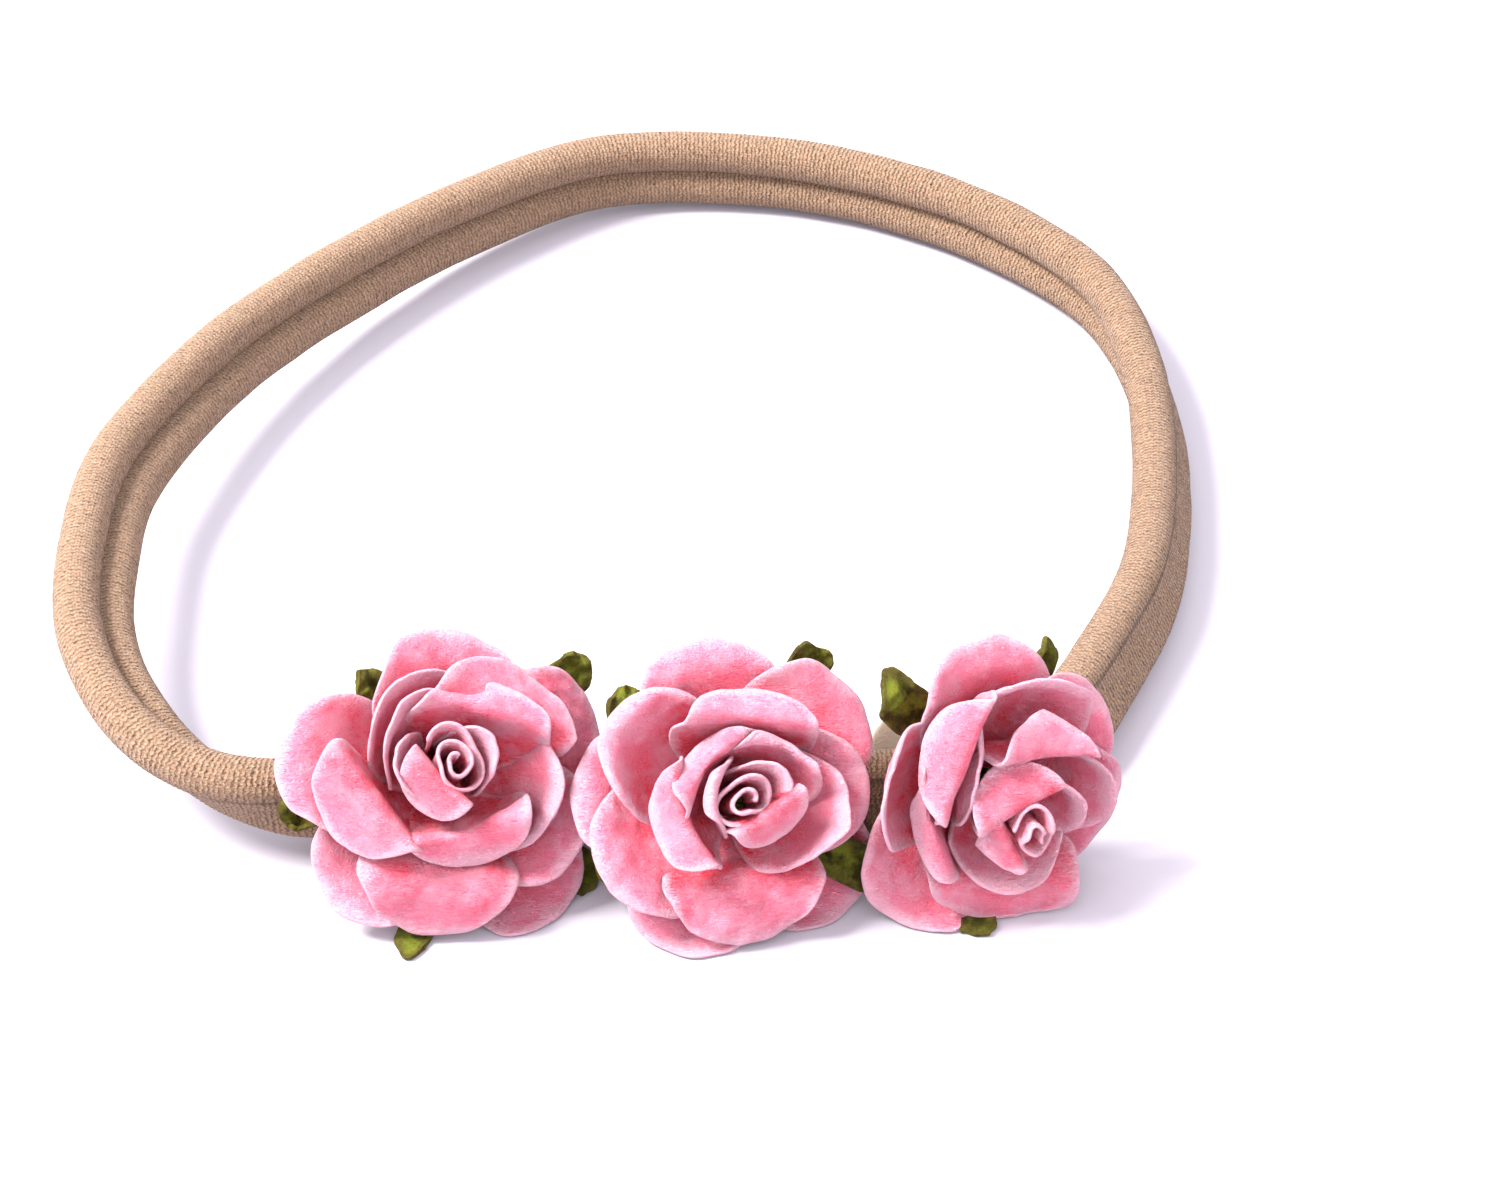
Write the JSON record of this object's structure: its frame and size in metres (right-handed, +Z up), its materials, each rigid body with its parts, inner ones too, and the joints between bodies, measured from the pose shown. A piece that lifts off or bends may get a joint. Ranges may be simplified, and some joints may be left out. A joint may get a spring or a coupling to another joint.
{
  "type": "flower crown",
  "caption": "Stretch headband of rolled nylon knit with a row of pink paper roses, green sepals and felt pads glued along its front.",
  "frame": {"origin": "centre of the bounding box, at the surface that the crown lies on", "axes": "+Z up, -Y towards the roses at the front of the loop, +X to the viewer's right when facing the roses"},
  "size_m": [0.1045, 0.1113, 0.0226],
  "materials": {
    "nylon_knit": "fine rolled knit, matt with a soft nylon sheen",
    "rose_paper": "soft mulberry paper, matt, pressed and curled",
    "bud_paper": "rolled mulberry paper, matt",
    "sepal_paper": "fuzzy green mulberry paper, matt",
    "stem_paper": "green crepe paper wound on wire",
    "felt": "craft felt, matt",
    "hot_glue": "set hot-melt glue, milky"
  },
  "bodies": {
    "root": {"nylon_band": "nylon_knit", "left_bud": "bud_paper", "left_inner_petals": "rose_paper", "left_third_petals": "rose_paper", "left_second_petals": "rose_paper", "left_outer_petals": "rose_paper", "left_calyx": "sepal_paper", "left_stem": "stem_paper", "left_glue": "hot_glue", "left_felt_pad": "felt", "middle_bud": "bud_paper", "middle_inner_petals": "rose_paper", "middle_third_petals": "rose_paper", "middle_second_petals": "rose_paper", "middle_outer_petals": "rose_paper", "middle_calyx": "sepal_paper", "middle_stem": "stem_paper", "middle_glue": "hot_glue", "middle_felt_pad": "felt", "right_bud": "bud_paper", "right_inner_petals": "rose_paper", "right_third_petals": "rose_paper", "right_second_petals": "rose_paper", "right_outer_petals": "rose_paper", "right_calyx": "sepal_paper", "right_stem": "stem_paper", "right_glue": "hot_glue", "right_felt_pad": "felt"}
  },
  "joints": []
}
